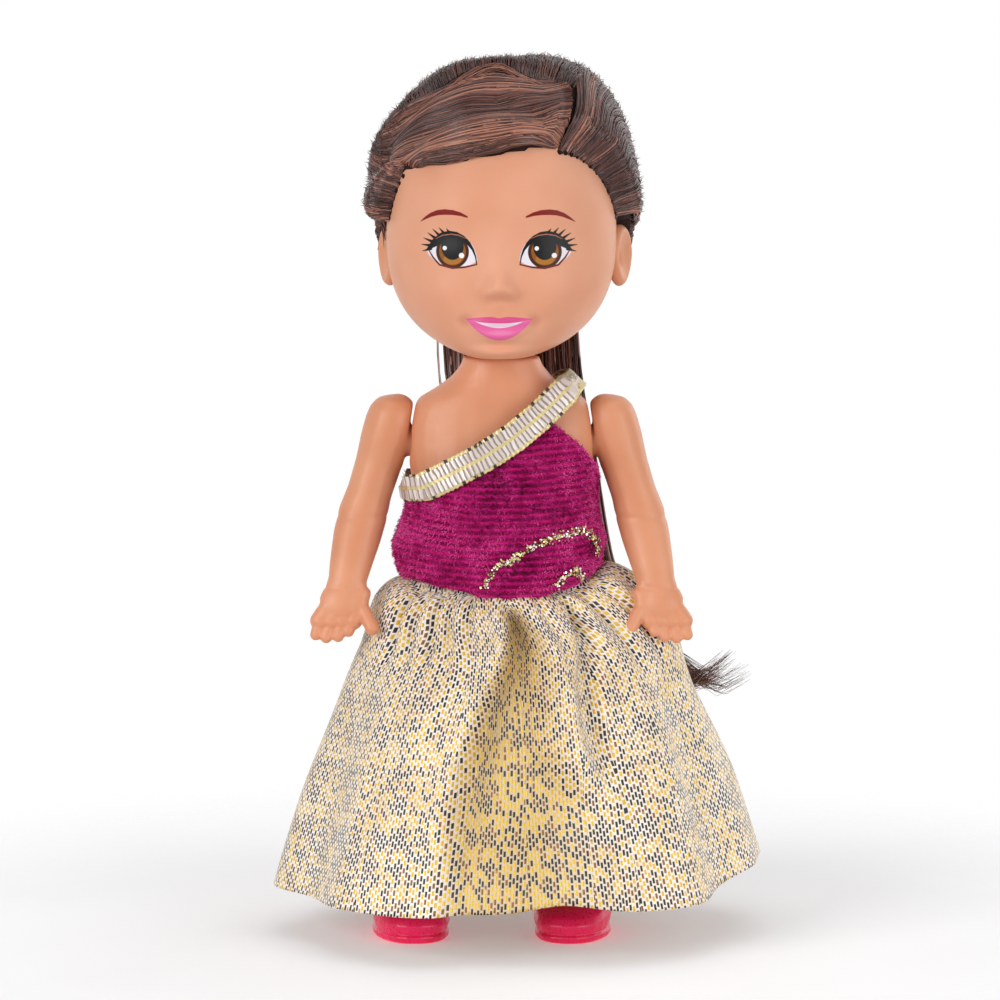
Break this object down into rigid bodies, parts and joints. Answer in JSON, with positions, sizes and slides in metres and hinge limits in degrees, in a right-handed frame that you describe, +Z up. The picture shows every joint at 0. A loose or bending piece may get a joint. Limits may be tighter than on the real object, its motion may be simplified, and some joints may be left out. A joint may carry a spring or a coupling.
{
  "type": "princess doll",
  "caption": "Small jointed princess doll with rooted long hair, one-shoulder velvet bodice, long gold lame skirt and slip-on shoes.",
  "frame": {"origin": "on the floor under the middle of the doll's outer size", "axes": "+Z up, the doll faces -Y, its own left hand is on the +X side"},
  "size_m": [0.0654, 0.0558, 0.1185],
  "materials": {
    "skin": "satin vinyl",
    "hair": "rooted fibre",
    "velvet": "ribbed pile",
    "braid": "woven metallic ribbon",
    "lame": "woven metallic cloth",
    "shoe": "gloss vinyl",
    "tape": "woven tape",
    "band": "elastic"
  },
  "bodies": {
    "body": {"torso_front": "skin", "torso_back": "skin", "bodice": "velvet", "strap_trim": "braid", "skirt": "lame", "closure_hook": "tape", "closure_loop": "tape", "hair_fall": "hair"},
    "head": {"head_shell": "skin", "hair_crown": "hair", "hair_fringe": "hair", "hair_side_left": "hair", "hair_lock_right": "hair", "hair_tie": "band"},
    "arm_l": {"arm_left": "skin"},
    "arm_r": {"arm_right": "skin"},
    "leg_l": {"leg_left": "skin", "shoe_left": "shoe"},
    "leg_r": {"leg_right": "skin", "shoe_right": "shoe"}
  },
  "joints": [
    {"name": "neck_turn", "type": "hinge", "parent": "body", "child": "head", "pos_m": [-0.00205, -0.0003, 0.084], "axis": [0, 0, 1], "range_deg": [-75, 75], "deforming": ["hair_fall"]},
    {"name": "shoulder_left", "type": "hinge", "parent": "body", "child": "arm_l", "pos_m": [0.01035, -0.0003, 0.0669], "axis": [-0.9869, 0, -0.1616], "range_deg": [-60, 120]},
    {"name": "shoulder_right", "type": "hinge", "parent": "body", "child": "arm_r", "pos_m": [-0.01445, -0.0003, 0.0669], "axis": [-0.9869, 0, 0.1616], "range_deg": [-60, 120]},
    {"name": "hip_left", "type": "hinge", "parent": "body", "child": "leg_l", "pos_m": [0.00595, -0.0003, 0.0415], "axis": [-1, 0, 0], "range_deg": [-20, 20]},
    {"name": "hip_right", "type": "hinge", "parent": "body", "child": "leg_r", "pos_m": [-0.01005, -0.0003, 0.0415], "axis": [-1, 0, 0], "range_deg": [-20, 20]}
  ]
}
